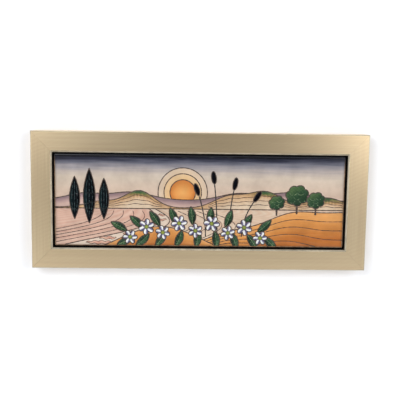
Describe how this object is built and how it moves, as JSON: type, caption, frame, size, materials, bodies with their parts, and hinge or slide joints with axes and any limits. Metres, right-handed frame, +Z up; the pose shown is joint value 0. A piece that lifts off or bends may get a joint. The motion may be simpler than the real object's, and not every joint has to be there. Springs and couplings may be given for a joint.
{
  "type": "framed art tile",
  "caption": "Wall plaque: a long glazed ceramic tile with a raised-line landscape, floated in a flat mitred gold frame, with a backing board and a sawtooth hanger.",
  "frame": {"origin": "on the wall plane, at the middle of the flat back face of the top rail", "axes": "+X to the viewer's right along the frame's length, +Y into the wall so that the front faces -Y, +Z up"},
  "size_m": [0.34, 0.02, 0.139],
  "materials": {
    "frame": "flat wooden moulding under champagne-gold foil, brushed along each rail",
    "lining": "thin wooden slips, painted matt black",
    "tile": "glossy coloured glazes between raised dark slip lines",
    "board": "thin raw fibreboard",
    "points": "thin bright steel",
    "hanger": "brassed, pressed"
  },
  "bodies": {
    "root": {"frame_rail_top": "frame", "frame_rail_bottom": "frame", "frame_rail_left": "frame", "frame_rail_right": "frame", "lining_top": "lining", "lining_bottom": "lining", "lining_left": "lining", "lining_right": "lining", "tile": "tile", "backing_board": "board", "point_top_1": "points", "point_top_2": "points", "point_top_3": "points", "point_bottom_1": "points", "point_bottom_2": "points", "point_bottom_3": "points", "point_left_1": "points", "point_right_1": "points", "sawtooth_hanger": "hanger", "hanger_rivet_left": "hanger", "hanger_rivet_right": "hanger"}
  },
  "joints": []
}
